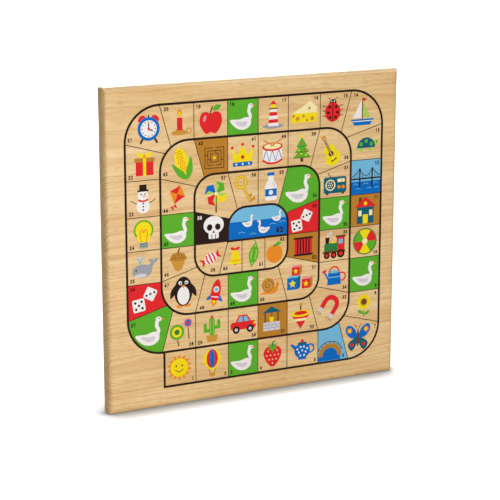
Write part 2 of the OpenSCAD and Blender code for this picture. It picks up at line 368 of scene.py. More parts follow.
class Picture:
    """Draws around one point of a face. Each shape lies on the earlier ones that it overlaps."""

    def __init__(self, face, x, y, base=0.0, size=1.0, turn=0.0, mirror=1, placed=None):
        self.face, self.x, self.y, self.base = face, x, y, base
        self.size, self.turn, self.mirror = size, turn, mirror
        self.placed = [] if placed is None else placed

    def on_face(self, points):
        flat = [(self.size * self.mirror * x, self.size * y) for x, y in points]
        return spun(flat, self.turn, self.x, self.y)

    def part(self, x, y, size=1.0, turn=0.0, mirror=1):
        """A smaller picture within this one."""
        middle, = self.on_face([(x, y)])
        size, turn = self.size * size, self.turn + turn
        return Picture(self.face, *middle, self.base, size, turn, mirror, self.placed)

    def add(self, ink, points, faces):
        spots = self.on_face(points)
        if self.mirror < 0:
            faces = [face[::-1] for face in faces]
        xs, ys = zip(*spots)
        low_x, high_x, low_y, high_y = min(xs), max(xs), min(ys), max(ys)
        layer = 1 + max((
            layer for x0, y0, x1, y1, layer in self.placed
            if x0 < high_x and low_x < x1 and y0 < high_y and low_y < y1
        ), default=0)
        self.placed.append((low_x, low_y, high_x, high_y, layer))
        self.face.add(ink, spots, faces, self.base, self.base + layer * LAYER)

    def poly(self, ink, *points):
        points = list(points)
        if signed_area(points) < 0:
            points.reverse()
        self.add(ink, points, [list(range(len(points)))])

    def blob(self, ink, *points):
        self.poly(ink, *smooth(points, True))

    def oval(self, ink, x, y, rx, ry, turn=0.0):
        circle = [polar(1.0, 360 * i / ROUND_STEPS) for i in range(ROUND_STEPS)]
        self.poly(ink, *spun([(rx * cx, ry * cy) for cx, cy in circle], turn, x, y))

    def disc(self, ink, x, y, r):
        self.oval(ink, x, y, r, r)

    def discs(self, x, y, **radii):
        """Discs of these inks on one middle."""
        for ink, r in radii.items():
            self.disc(ink, x, y, r)

    def dots(self, ink, r, *places):
        for x, y in places:
            self.disc(ink, x, y, r)

    def sector(self, ink, x, y, r, start, stop):
        self.poly(ink, (x, y), *arc_points(x, y, r, start, stop))

    def box(self, ink, x0, y0, x1, y1, r=0.0):
        if not r:
            self.poly(ink, (x0, y0), (x1, y0), (x1, y1), (x0, y1))
            return
        left, right, low, high = x0 + r, x1 - r, y0 + r, y1 - r
        points = []
        for x, y, start in ((right, high, 0), (left, high, 90), (left, low, 180), (right, low, 270)):
            points += arc_points(x, y, r, start, start + 90, CORNER_STEPS)
        self.poly(ink, *points)

    def star(self, ink, x, y, outer, inner, tips):
        points = [polar(inner if i % 2 else outer, 90 + 180 * i / tips) for i in range(2 * tips)]
        self.poly(ink, *spun(points, 0, x, y))

    def leaf(self, ink, x0, y0, x1, y1, w):
        """A shape with two pointed ends, widest in the middle."""
        run = math.hypot(x1 - x0, y1 - y0)
        steps = range(LEAF_STEPS + 1)
        shape = [(run * i / LEAF_STEPS, w / 2 * math.sin(math.pi * i / LEAF_STEPS)) for i in steps]
        shape += [(x, -y) for x, y in shape[-2:0:-1]]
        self.poly(ink, *spun(shape, math.degrees(math.atan2(y1 - y0, x1 - x0)), x0, y0))

    def line(self, ink, w, *points):
        """A stroke with round ends."""
        left, right, headings = [], [], []
        legs = [math.atan2(by - ay, bx - ax) for (ax, ay), (bx, by) in zip(points, points[1:])]
        for (x, y), before, after in zip(points, legs[:1] + legs, legs + legs[-1:]):
            bend = math.remainder(after - before, math.tau) / 2
            headings.append(math.degrees(before + bend))
            reach = w / 2 / max(math.cos(bend), LEAST_MITRE)
            dx, dy = polar(reach, headings[-1] + 90)
            left.append((x + dx, y + dy))
            right.append((x - dx, y - dy))
        count = len(points)
        start = arc_points(*points[0], w / 2, headings[0] + 90, headings[0] + 270, CAP_STEPS)[1:-1]
        stop = arc_points(*points[-1], w / 2, headings[-1] - 90, headings[-1] + 90, CAP_STEPS)[1:-1]
        faces = [[count + i, count + i + 1, i + 1, i] for i in range(count - 1)]
        first, last = 2 * count, 2 * count + len(start)
        faces.append([0, *range(first, last), count])
        faces.append([2 * count - 1, *range(last, last + len(stop)), count - 1])
        self.add(ink, left + right + start + stop, faces)

    def pen(self, w, *points):
        """A stroke in the ink of outlines."""
        self.line("dark_brown", w, *points)

    def curve(self, ink, w, *points):
        self.line(ink, w, *smooth(points, False))

    def band(self, ink, w, path):
        """A closed stroke along a path that runs anticlockwise."""
        outer, inner = [], []
        for before, (x, y), after in zip(path[-1:] + path[:-1], path, path[1:] + path[:1]):
            heading = math.degrees(math.atan2(after[1] - before[1], after[0] - before[0]))
            dx, dy = polar(w / 2, heading - 90)
            outer.append((x + dx, y + dy))
            inner.append((x - dx, y - dy))
        count = len(path)
        faces = [[i, (i + 1) % count, count + (i + 1) % count, count + i] for i in range(count)]
        self.add(ink, outer + inner, faces)

    def loop(self, ink, w, *points):
        path = smooth(points, True)
        self.band(ink, w, path if signed_area(path) > 0 else path[::-1])

    def ring(self, ink, x, y, r, w):
        self.band(ink, w, arc_points(x, y, r, 0, 360)[:-1])

    def arc(self, ink, x, y, r, w, start, stop):
        """Part of a band, with straight ends."""
        outer = arc_points(x, y, r + w / 2, start, stop)
        inner = arc_points(x, y, r - w / 2, start, stop)
        self.poly(ink, *outer, *reversed(inner))


# Digits are strokes in a box one unit wide and one high
LINE, CURVE, LOOP = Picture.line, Picture.curve, Picture.loop
NINE_TAIL = ((0.93, 0.68), (0.85, 0.3), (0.5, 0.02), (0.15, 0.08))
DIGITS = {
    "0": [(LOOP, (0.5, 1), (0.92, 0.5), (0.5, 0), (0.08, 0.5))],
    "1": [(LINE, (0.22, 0.78), (0.55, 1), (0.55, 0))],
    "2": [
        (CURVE, (0.1, 0.76), (0.48, 1), (0.88, 0.74), (0.62, 0.42), (0.1, 0)),
        (LINE, (0.1, 0), (0.92, 0)),
    ],
    "3": [
        (CURVE, (0.12, 0.86), (0.5, 1), (0.84, 0.77), (0.45, 0.55)),
        (CURVE, (0.45, 0.55), (0.9, 0.28), (0.5, 0), (0.08, 0.16)),
    ],
    "4": [(LINE, (0.72, 1), (0.06, 0.28), (0.95, 0.28)), (LINE, (0.72, 1), (0.72, 0))],
    "5": [
        (LINE, (0.86, 1), (0.24, 1), (0.16, 0.56)),
        (CURVE, (0.16, 0.56), (0.52, 0.64), (0.9, 0.32), (0.5, 0), (0.08, 0.14)),
    ],
    "6": [
        (LOOP, (0.5, 0.6), (0.92, 0.3), (0.5, 0), (0.08, 0.3)),
        (CURVE, *((1 - x, 1 - y) for x, y in NINE_TAIL)),
    ],
    "7": [(LINE, (0.06, 1), (0.94, 1), (0.36, 0))],
    "8": [
        (LOOP, (0.5, 1), (0.84, 0.78), (0.5, 0.55), (0.16, 0.78)),
        (LOOP, (0.5, 0.55), (0.92, 0.27), (0.5, 0), (0.08, 0.27)),
    ],
    "9": [(LOOP, (0.5, 1), (0.92, 0.7), (0.5, 0.4), (0.08, 0.7)), (CURVE, *NINE_TAIL)],
}
DIGIT_WIDTH, DIGIT_STEP, DIGIT_STROKE = 0.56, 0.86, 0.27


def number_width(value, height):
    return height * (DIGIT_WIDTH + DIGIT_STEP * (len(str(value)) - 1))


def number(picture, value, height, ink):
    """A number with its middle on the picture's middle."""
    left = -number_width(value, height) / 2
    for place, digit in enumerate(str(value)):
        for draw, *points in DIGITS[digit]:
            xs = [left + height * (place * DIGIT_STEP + DIGIT_WIDTH * x) for x, _ in points]
            ys = [height * (y - 0.5) for _, y in points]
            draw(picture, ink, height * DIGIT_STROKE, *zip(xs, ys))


# The pictures, each in a box of about 32 mm around its middle

BOTH = (-1, 1)


def sun(p):
    p.star("orange", 0, 0, 15.5, 10.5, 14)
    p.disc("yellow", 0, 0, 10.5)
    p.dots("dark_brown", 1.1, (-3.6, 2), (3.6, 2))
    p.curve("dark_brown", 0.9, *whole((0, -5), (4.5, -2.5)))


def balloon(p):
    for s in BOTH:
        p.pen(0.7, (5 * s, -4), (2.5 * s, -12))
    p.poly("yellow", *whole((8.5, -1.5), (3, -8.5)))
    p.disc("yellow", 0, 5, 11)
    p.oval("red", 0, 5, 7, 11)
    p.oval("blue", 0, 5, 3, 11)
    p.box("ochre", -3.4, -15.8, 3.4, -11.5, 1)


def strawberry(p):
    p.blob("red", *whole((0, -15), (8.5, -7), (11.5, 3), (6, 9.5), (0, 8.5)))
    p.dots("cream", 0.8, *whole((0, 4.5), (6, 4), (2.5, -1), (7.5, -1), (0, -6), (4.5, -6), (0, -10.5)))
    p.star("green", 0, 9, 7.5, 3, 6)
    p.curve("dark_green", 1.4, (0, 10), (0.5, 13), (2.5, 15.5))


def teapot(p):
    p.ring("blue", 10.5, -1.5, 5, 2)
    p.blob("blue", (-6, -8), (-10.5, -1), (-15.8, 5), (-13.5, 6.2), (-9, 3.5), (-5, 2))
    p.oval("blue", 0, -3, 10.5, 9.5)
    p.box("blue", -5.5, -14, 5.5, -11, 1)
    p.oval("teal", 0, 6, 6, 1.8)
    p.disc("red", 0, 9, 2)
    p.dots("white", 1.2, *whole((2.2, 1.5), (6.5, -1), (0, -3), (4.5, -5), (2.5, -9)))


def butterfly(p):
    for s in BOTH:
        p.blob(
            "blue", (0.5 * s, 0), (4 * s, 10), (12 * s, 14.5), (15.5 * s, 9), (11 * s, 1.5), (5 * s, -1)
        )
        p.blob("teal", (0.5 * s, -1), (8 * s, -2.5), (12.5 * s, -8), (8 * s, -14.5), (3 * s, -10))
        p.discs(10.3 * s, 8.5, orange=3, yellow=1.5)
        p.disc("red", 7.3 * s, -8, 2)
        p.curve("dark_brown", 0.7, (0.4 * s, 7), (2 * s, 12), (4.5 * s, 15))
    p.oval("dark_brown", 0, -1.5, 1.6, 9)


def sunflower(p):
    p.line("green", 1.8, (0, -15), (0, 2))
    p.leaf("green", 0, -14, 9.5, -9, 4.5)
    p.leaf("green", 0, -12, -9.5, -7, 4.5)
    for angle in range(0, 360, 30):
        x, y = polar(11.5, angle)
        p.leaf("yellow", 0, 4, x, 4 + y, 5.5)
    p.discs(0, 4, ochre=5.4, dark_brown=3.8)


def beach_ball(p):
    for i, ink in enumerate(("red", "yellow", "green") * 2):
        p.sector(ink, 0, 0, 13.5, 60 * i, 60 * i + 60)
    p.ring("dark_green", 0, 0, 13.2, 1.2)
    p.disc("cream", 0, 0, 3.2)


def inn(p):
    p.box("dark_brown", -8, 6, -4.5, 14)
    p.box("teal", -10, -14, 10, 4)
    p.poly("red", (-13, 3.5), (13, 3.5), (0, 14.5))
    p.box("yellow", -3, -14, 3, -4.5, 0.8)
    for s in BOTH:
        p.box("cream", 6.5 * s - 2, -6, 6.5 * s + 2, 0)
    p.disc("yellow", 0, 7.2, 2)


def turtle(p):
    p.oval("lime", 12.5, -1, 4, 3.4)
    for x in (-7, 6):
        p.box("lime", x - 2.6, -11, x + 2.6, -4, 2)
    p.leaf("lime", -9, -5.5, -15.8, -7.5, 2.6)
    p.sector("teal", 0, -6.5, 12.2, 0, 180)
    p.dots("green", 2.3, *whole((0, 1.4), (6.8, -2.2)))
    p.disc("black", 13.9, 0, 0.9)


def sailboat(p):
    p.pen(1.1, (0, -8), (0, 14.5))
    p.poly("white", (-1.2, -5.5), (-1.2, 13), (-11.5, -5.5))
    p.poly("lime", (1.2, -5.5), (10, -5.5), (1.2, 10))
    p.poly("blue", (-14, -7), (-9.5, -13.5), (9, -13.5), (14, -7))
    p.line("white", 0.9, (-11.8, -9.2), (11.8, -9.2))
    p.poly("red", (0.6, 15.5), (0.6, 11.6), (6, 13.5))


def ladybird(p):
    for s in BOTH:
        for y in (-8, -2, 4):
            p.line("black", 1.0, (8 * s, y), (14 * s, y + 2))
        p.curve("black", 0.8, (2 * s, 11), (3.5 * s, 14), (6.5 * s, 15))
    p.disc("black", 0, 8.5, 5)
    p.oval("red", 0, -2.5, 11, 12)
    p.line("black", 1.0, (0, 8.5), (0, -14))
    for s in BOTH:
        p.dots("black", 1.9, (4.5 * s, 4), (6.5 * s, -3), (4 * s, -9))
        p.disc("white", 2 * s, 11, 0.9)


def cheese(p):
    p.poly("cream", (-15, -2), (15, -2), (15, 4), (7, 10.5))
    p.box("yellow", -15, -12, 15, -2)
    p.dots("ochre", 2.3, (-8, -7.5), (9.5, -8.2))
    p.dots("ochre", 1.6, (-1, -5), (3, -9.6), (6, 3), (-13, -4.4))


def lighthouse(p):
    def half(y):
        return 4 + (6 - y) * 2.5 / 19

    p.oval("grey", 0, -13, 13, 2.8)
    p.poly("white", *whole((half(-13), -13), (half(6), 6)))
    for y in (-9.5, -1.5):
        p.poly("red", *whole((half(y), y), (half(y + 4), y + 4)))
    p.box("yellow", -3, 6.8, 3, 11)
    p.box("dark_brown", -5.2, 5.6, 5.2, 7)
    p.poly("red", (-4.4, 11), (4.4, 11), (0, 15.5))


def apple(p):
    p.blob("red", *whole((0, -13), (6, -14), (12, -4), (10.5, 5.5), (4.5, 7.5), (0, 5.5)))
    p.curve("dark_brown", 1.4, (0, 5), (0.3, 9), (2, 12.5))
    p.leaf("green", 1.5, 9, 11.5, 13.5, 5.5)
    p.oval("pink", -6.5, 1, 1.6, 3.4, -20)


def candle(p):
    p.ring("ochre", 11.5, -11, 3, 1.5)
    p.oval("ochre", 0, -12.5, 11, 3)
    p.box("ochre", -5, -12, 5, -8.5, 1)
    p.box("red", -3.4, -10, 3.4, 5, 0.8)
    p.pen(0.8, (0, 5), (0, 7.2))
    p.leaf("orange", 0, 5.6, 0, 15.8, 6.5)
    p.leaf("yellow", 0, 6.4, 0, 12.8, 3.6)


def alarm_clock(p):
    for s in BOTH:
        p.line("black", 2.2, (6 * s, -9), (9.5 * s, -15))
        p.oval("red", 8 * s, 11, 4.8, 3.4, -38 * s)
    p.line("black", 1.6, (0, 10), (0, 14.5))
    p.discs(0, 0, blue=13, white=9.6)
    p.dots("black", 0.7, *(polar(7.9, angle) for angle in range(0, 360, 30)))
    p.line("black", 1.3, (0, 0), (0, 6))
    p.line("black", 1.3, (0, 0), (4.4, -2.2))
    p.disc("red", 0, 0, 1.5)


def gift_box(p):
    p.box("red", -11.5, -14, 11.5, 3)
    p.box("brown", -13, 2.5, 13, 7.5, 0.8)
    p.box("yellow", -2, -14, 2, 7.5)
    for s in BOTH:
        p.oval("yellow", 5 * s, 10.8, 5, 2.7, 28 * s)
    p.disc("orange", 0, 8.8, 1.9)


def snowman(p):
    for s in BOTH:
        p.pen(0.9, (6 * s, -6), (14 * s, -1))
    p.disc("white", 0, -8, 7.8)
    p.disc("white", 0, 3.5, 6)
    p.box("black", -6.4, 8, 6.4, 9.8, 0.6)
    p.box("black", -4.2, 9, 4.2, 15.5)
    p.dots("black", 0.9, (-2.2, 5), (2.2, 5), (0, -5), (0, -8.5), (0, -12))
    p.poly("orange", (0, 3.8), (0, 2), (5.4, 2.5))
    p.curve("red", 2, *whole((0, -2.6), (5, -1.2)))


def light_bulb(p):
    p.poly("yellow", *whole((8.5, -1), (4.5, -8.5)))
    p.disc("yellow", 0, 4.5, 10.5)
    p.box("grey", -4.5, -14, 4.5, -7.8, 1)
    for y in (-9.8, -12):
        p.line("dark_green", 0.8, (-4.2, y), (4.2, y + 0.5))
    p.curve("orange", 1.0, *whole((0, 2), (1.6, 5), (4, 2), (2.6, -7)))
    p.arc("green", 0, 4.5, 9.6, 1.8, -40, 220)


def whale(p):
    p.poly("grey", (2, -1), (9.5, 5), (12, 3.5), (6, -9))
    for x in (16, 5.5):
        p.leaf("grey", 10.6, 3.2, x, 9, 4.5)
    p.oval("grey", -3, -5, 12, 8)
    p.oval("pearl", -5, -10, 7.5, 2.4)
    p.disc("black", -10.2, -3.5, 1)
    for s in BOTH:
        p.curve("light_blue", 1.3, (-5, 3.5), (-5 + 1.5 * s, 8.5), (-5 + 5 * s, 10))
    p.dots("light_blue", 0.8, (-5, 12.5), (-8.5, 13), (-1.5, 13))


def lollipops(p):
    p.pen(1.3, (-5, -5), (-3, -15.5))
    p.pen(1.1, (8, 6), (9, -9))
    p.discs(-5, 0, green=8.5, yellow=5.8, dark_green=3)
    p.discs(8, 9, pink=5.4, blue=3.8, red=1.8)


def cactus(p):
    p.poly("ochre", *whole((5.5, -15.5), (7.5, -7.5)))
    p.line("green", 4, (0, -1.5), (-8.5, -1.5), (-8.5, 5.5))
    p.line("green", 4, (0, 1.5), (8.5, 1.5), (8.5, 8.5))
    p.line("green", 7, (0, -4.5), (0, 10.5))
    for x in (-1.8, 1.8):
        p.line("lime", 0.7, (x, -6), (x, 10.5))
    p.star("red", 0, 14.2, 2.6, 1.3, 5)


def car(p):
    p.poly("red", (-9.5, -1), (-5.5, 7.5), (5, 7.5), (10, -1))
    p.box("red", -15.5, -9, 15.5, 0, 3)
    p.poly("light_blue", (-6.8, 0), (-4.3, 5.8), (-0.7, 5.8), (-0.7, 0))
    p.poly("light_blue", (0.9, 0), (0.9, 5.8), (4, 5.8), (7.2, 0))
    for s in BOTH:
        p.discs(8.5 * s, -9, black=4.3, pearl=1.9)
    p.disc("yellow", 14, -3, 1.4)


def well(p):
    for s in BOTH:
        p.pen(1.8, (8.5 * s, -5), (8.5 * s, 8))
    p.pen(0.9, (0, 8), (0, 2))
    p.poly("teal", (-13, 7.5), (13, 7.5), (0, 15))
    p.poly("yellow", *whole((2.2, -3.5), (3, 2)))
    p.box("pearl", -11, -14.5, 11, -4, 1)
    for y in (-7.5, -11):
        p.line("grey", 0.8, (-10.4, y), (10.4, y))
    for x, y in ((-4, -4.6), (5, -4.6), (-7, -8), (0.5, -8), (7, -8), (-3, -11.5), (4.5, -11.5)):
        p.line("grey", 0.8, (x, y), (x, y - 2.4))


def spinning_top(p):
    p.pen(1.8, (0, 5), (0, 14))
    p.disc("ochre", 0, 14, 1.9)
    p.poly("dark_brown", (-1.6, -12), (0, -15.8), (1.6, -12))
    p.poly("red", *whole((1.4, -13), (13, 3)))
    p.poly("cream", *whole((6.4, -6), (8.6, -3)))
    p.oval("yellow", 0, 3, 13, 4)
    p.oval("red", 0, 3.6, 8.5, 2.4)


def magnet(p):
    p.arc("red", 0, 4, 9, 6.4, 0, 180)
    for s in BOTH:
        p.box("red", 9 * s - 3.2, -6, 9 * s + 3.2, 4)
        p.box("pearl", 9 * s - 3.2, -11, 9 * s + 3.2, -6)
        for x in (-2.6, 0, 2.6):
            p.pen(0.8, (9 * s + x, -12.6), (9 * s + 1.4 * x, -15.2))


def watering_can(p):
    p.ring("red", 11, -2, 5.2, 1.9)
    p.line("blue", 2.4, (-7, -7), (-14, 5.5))
    p.oval("red", -14.4, 6.6, 3.6, 1.6, 28)
    p.poly("blue", *whole((10, -12), (8.5, 5)))
    p.oval("light_blue", 0, 5, 8.5, 2)
    p.arc("red", 0, 4.5, 7, 1.9, 0, 180)
    p.line("light_blue", 1.4, (-8.4, -2), (8.4, -2))


def train(p):
    p.box("red", 3.5, -6, 14, 10)
    p.box("light_blue", 6, 2, 11.5, 7.5)
    p.box("dark_brown", 2, 9.5, 15.5, 12, 0.8)
    p.box("dark_green", -13, -6, 5, 3.5, 1.5)
    p.poly("black", (-11, 3), (-7, 3), (-6, 10.5), (-12, 10.5))
    p.sector("yellow", -1, 3.2, 2.7, 0, 180)
    p.box("dark_brown", -14.8, -8.4, 14.8, -5.6)
    for x, r in ((-9.5, 4), (-0.5, 4), (9, 5)):
        p.discs(x, -15 + r, black=r, red=r * 0.5)
    p.dots("pearl", 2, (-8, 13.2), (-4.6, 15))


def radio(p):
    p.line("black", 1.0, (-5, 6), (-9, 11.5))
    p.box("teal", -14.5, -11.5, 14.5, 7, 2.5)
    p.discs(-6, -2.2, cream=6.4, teal=5)
    p.dots("cream", 0.8, (-6, -2.2), *arc_points(-6, -2.2, 2.8, 0, 300, 5))
    p.box("cream", 3, 0.5, 12.4, 4.5, 0.6)
    p.line("red", 0.8, (8.6, 1.2), (8.6, 3.8))
    for x in (5, 10.5):
        p.disc("orange", x, -5, 2.1)
    for s in BOTH:
        p.box("black", 10 * s - 1.5, -13, 10 * s + 1.5, -11.4)


def guitar(p):
    p.oval("yellow", 0, -8.5, 9, 7.3)
    p.oval("yellow", 0, 0.5, 6.6, 5.6)
    p.disc("dark_brown", 0, -3.6, 2.9)
    p.pen(2.4, (0, -0.5), (0, 13))
    p.box("ochre", -2.3, 12, 2.3, 16.8, 0.7)
    p.box("dark_brown", -3.4, -11.4, 3.4, -10)
    p.line("cream", 0.5, (0, -10.6), (0, 15))


def fir_tree(p):
    p.box("dark_brown", -1.9, -15.5, 1.9, -9)
    for y, w in ((-11, 12), (-4.5, 9.6), (2, 7.2)):
        p.poly("green", (-w, y), (w, y), (0, y + 11.5))
        p.line("dark_green", 0.9, (-w + 1.5, y + 0.4), (w - 1.5, y + 0.4))
    p.dots("red", 1.1, (-5.5, -8.5), (3, -2.2), (0, 5.5))
    p.dots("yellow", 1.1, (5, -8), (-4, -1.8), (-0.8, -6.2))
    p.star("yellow", 0, 14, 2.8, 1.3, 5)


def drum(p):
    p.oval("white", 0, -10, 12, 4)
    p.box("white", -12, -10, 12, 5)
    p.line("blue", 1.1, *whole((0, 1), (4, -11.5), (8, 2), (11, -8)))
    p.curve("red", 2.2, *whole((0, -13.8), (6, -13), (11.6, -10)))
    p.oval("red", 0, 5, 12.8, 4.8)
    p.oval("cream", 0, 5.5, 10.6, 3.2)
    for s in BOTH:
        p.line("ochre", 1.4, (11 * s, 13), (-1.5 * s, 6))


def crown(p):
    p.poly("yellow", *whole((12.5, -9), (14.5, 9), (7, 0), (0, 12.5)))
    p.box("blue", -13, -13.5, 13, -8.5, 1)
    p.dots("red", 1.9, *whole((0, 13), (14, 9.6)))
    p.dots("white", 1.2, *whole((0, -11), (8.5, -11)))
    p.disc("red", 0, -2.5, 2.4)


def corn(p):
    p.oval("yellow", 0, 3, 6.6, 13)
    for row in range(9):
        y = 12.5 - 2.4 * row
        p.dots("orange", 0.8, *((x + 1.1 * (row % 2), y) for x in (-3.3, -1.1, 1.1)))
    for s in BOTH:
        p.blob("green", (0, -15.5), (7.5 * s, -9.5), (10.5 * s, 4), (5.5 * s, -1.5), (1 * s, -8.5))


def kite(p):
    p.curve("dark_brown", 0.8, (0, -7.5), (3, -10), (-2, -12.8), (2, -15.8))
    p.poly("red", (0, 15.5), (-10.5, 4.5), (0, -8), (10.5, 4.5))
    p.poly("orange", (0, 15.5), (0, 4.5), (10.5, 4.5))
    p.poly("orange", (0, 4.5), (-10.5, 4.5), (0, -8))
    for x, y in ((2.4, -10.4), (-1.2, -13)):
        p.leaf("red", x - 3, y + 0.8, x + 3, y - 0.8, 2.4)


def acorn(p):
    p.blob("ochre", *whole((0, -15), (6.5, -9), (9, 1), (0, 3)))
    p.blob("brown", *whole((0, -1), (11.5, 0.5), (8, 8), (0, 10)))
    p.dots("dark_brown", 0.8, *whole((0, 3), (3.8, 3), (7.5, 3), (0, 6.5), (5, 6)))
    p.curve("dark_brown", 2, (0, 9.5), (0.3, 12), (2, 14.5))


def penguin(p):
    for s in BOTH:
        p.leaf("black", 6.5 * s, 7, 13 * s, -7, 5)
        p.oval("orange", 3.8 * s, -14, 3.4, 1.6)
    p.oval("black", 0, -0.5, 9, 13.8)
    p.oval("white", 0, -4.5, 6, 8.6)
    p.dots("white", 1.8, (-3, 7.5), (3, 7.5))
    p.dots("black", 0.8, (-2.7, 7.3), (2.7, 7.3))
    p.poly("orange", (-2.2, 5.4), (0, 2.4), (2.2, 5.4))


def rocket(p):
    p.leaf("orange", 0, -6, 0, -16, 6.5)
    p.leaf("yellow", 0, -6, 0, -13, 3.4)
    for s in BOTH:
        p.poly("blue", (4 * s, 1), (11 * s, -9.5), (3.5 * s, -7.5))
    p.blob("red", *whole((0, 15.8), (5, 8), (5.6, -2), (4, -8)))
    p.discs(0, 4, white=3.4, light_blue=2.3)
    p.line("white", 1.2, (-4, -4.6), (4, -4.6))


def snail(p):
    for x in (9.5, 14.5):
        p.line("orange", 1.0, (12, 0), (x, 7))
        p.disc("orange", x, 7.4, 1.2)
    p.blob(
        "orange", (-15.5, -12.6), (-6, -13), (9, -12.6), (13.5, -6), (14.5, 0.5), (11.5, 2.6),
        (9, -3), (2, -8), (-8, -9.5)
    )
    p.discs(-2, -0.5, brown=9.8, ochre=7.6)
    spiral = [polar(7 - i * 0.55, 40 * i) for i in range(12)]
    p.curve("dark_brown", 1.0, *spun(spiral, 0, -2, -0.5))
    p.disc("black", 12.6, -1, 0.7)


def toy_cubes(p):
    for x, y, w, front, top, side in (
        (-15, -13, 14, "blue", "light_blue", "teal"),
        (4, -13, 11, "red", "pink", "brown"),
        (-9, 3.5, 10, "red", "pink", "brown"),
    ):
        p.poly(side, (x + w, y), (x + w + 3, y + 2.6), (x + w + 3, y + w + 2.6), (x + w, y + w))
        p.poly(top, (x, y + w), (x + w, y + w), (x + w + 3, y + w + 2.6), (x + 3, y + w + 2.6))
        p.box(front, x, y, x + w, y + w)
        p.star("yellow", x + w / 2, y + w / 2, w * 0.36, w * 0.16, 5)


def milk_bottle(p):
    p.box("white", -7, -15, 7, 2, 1.5)
    p.poly("white", *whole((7, 0.5), (3.2, 8)))
    p.box("white", -3.2, 7, 3.2, 12.5)
    p.box("blue", -4.2, 12, 4.2, 15.5, 0.8)
    p.box("blue", -7, -10.5, 7, -2.5)
    p.disc("white", 0, -6.5, 2.6)
    p.line("pearl", 1.3, (4.8, -0.4), (2.4, 5))


def key(p):
    p.ring("ochre", 0, 8.5, 5.4, 3)
    p.line("ochre", 2.8, (0, 3), (0, -13.5))
    p.box("ochre", 0, -14.8, 6.2, -11.8)
    p.box("ochre", 0, -9.8, 4.8, -7.2)
    p.ring("yellow", 0, 8.5, 5.4, 1.2)
    p.line("yellow", 1.0, (0, 2), (0, -12.5))


def pinwheel(p):
    p.pen(1.7, (0, 3), (0, -15.5))
    for i, ink in enumerate(("green", "blue", "red", "yellow")):
        p.poly(ink, *spun([(0, 0), (9.5, 3), (8.5, 10), (0, 12.5)], 90 * i, 0, 3))
        p.poly("lime", *spun([(0, 0), (3.6, 7.4), (0, 12.5)], 90 * i, 0, 3))
    p.disc("cream", 0, 3, 1.9)


def candy(p):
    for s in BOTH:
        p.poly("red", (6.5 * s, 0), (15.5 * s, 7), (13.2 * s, 0), (15.5 * s, -7))
    p.oval("white", 0, 0, 9.5, 7.8)
    for s in BOTH:
        p.curve("red", 2.3, (4.6 * s, -5.6), (5.6 * s, 0), (4.6 * s, 5.6))
    p.line("red", 2.4, (0, -6.4), (0, 6.4))


def bell(p):
    p.disc("ochre", 0, -11.5, 2.6)
    p.blob("yellow", *whole((2.5, 10.5), (6.5, 4), (8, -5), (12, -10), (0, -11)))
    p.line("orange", 1.4, (-8, -6), (8, -6))
    for s in BOTH:
        p.oval("red", 4.2 * s, 12.8, 4, 2.2, 25 * s)
    p.disc("red", 0, 11.6, 1.7)


def pea_pod(p):
    p.curve("green", 1.4, (13.5, 0), (15.5, 0.6), (17, 2.4))
    p.leaf("green", -15.5, 0, 15.5, 0, 13)
    p.leaf("lime", -12.5, 0, 12.5, 0, 8)
    p.dots("green", 2.7, *whole((2.4, 0), (7.2, 0)))


def orange(p):
    p.disc("orange", 0, -2, 11.8)
    p.dots("ochre", 0.7, (-5, -7), (4, -8), (7, -3), (-1, -5), (-8, -1), (3, -1))
    p.leaf("green", 0, 9, 10, 13, 5)
    p.disc("dark_green", 0, 9, 1.5)


def goose(p):
    p.blob("white", (-15, -2), (-8, -10.5), (1, -13), (8.5, -9.5), (10, -3), (5, 0.5), (-4, -1.5))
    p.curve("white", 3.8, (7, -4), (9.2, 1), (7.4, 6.5), (8.4, 11.5))
    p.oval("white", 9.6, 12.6, 3.2, 2.4, -8)
    p.poly("orange", (12.2, 13.8), (12.2, 11.4), (16, 12.2))
    p.disc("black", 10.2, 13.2, 0.6)
    p.blob("pearl", (-9, -4), (-3, -9), (4, -8.5), (5, -4.5), (-1, -4.5))


def die(p, pips):
    p.box("white", -7, -7, 7, 7, 1.8)
    p.dots("black", 1.4, *pips)


def dice(p):
    corners = [(3.6 * x, 3.6 * y) for x in BOTH for y in BOTH]
    die(p.part(-6.5, -5.5, 1.1, 8), [(0, 0), *corners])
    die(p.part(8, 7, 1.0, -27), [(0, 0), corners[0], corners[3]])


def bridge(p):
    p.box("blue", -17.5, -20.5, 15, -14)
    p.sector("brown", 0, -14.5, 17, 0, 180)
    p.sector("blue", 0, -14.5, 11, 0, 180)
    p.arc("dark_brown", 0, -14.5, 19.5, 1.0, 24, 156)
    for angle in range(30, 151, 20):
        x, y = polar(17, angle)
        dx, dy = polar(2.5, angle)
        p.pen(1.0, (x, y - 14.5), (x + dx, y + dy - 14.5))


def suspension_bridge(p):
    for x in (-9, 9):
        p.line("black", 2.0, (x, -13), (x, 11))
    for x in (-20, 20):
        p.curve("black", 0.9, (x, 1.5), (x * 0.75, 4.5), (x * 0.45, 11))
    p.curve("black", 0.9, *whole((0, 1.8), (5, 4.4), (9, 11)))
    for x, y in whole((0, 1.8), (5, 4.4), (13, 7), (17, 3)):
        p.line("black", 0.6, (x, y), (x, -2))
    p.line("black", 1.9, (-20, -2), (20, -2))
    for y, xs in ((-9, (-15, 0, 14)), (-15, (-11, 5, 16))):
        for x in xs:
            p.curve("light_blue", 0.8, (x - 3, y), (x, y + 1), (x + 3, y))


def maze(p):
    for r, turn in ((14, 0), (9.8, 180), (5.6, 0)):
        p.pen(1.3, *spun(whole((r, -r), (r, r), (2.2, r)), turn))
    for x, y, dx, dy in ((-14, 4, 4.2, 0), (9.8, -3, 4.2, 0), (-5.6, -2, -4.2, 0), (2, 5.6, 0, 4.2)):
        p.pen(1.3, (x, y), (x + dx, y + dy))
    p.disc("yellow", 0, 0, 2)


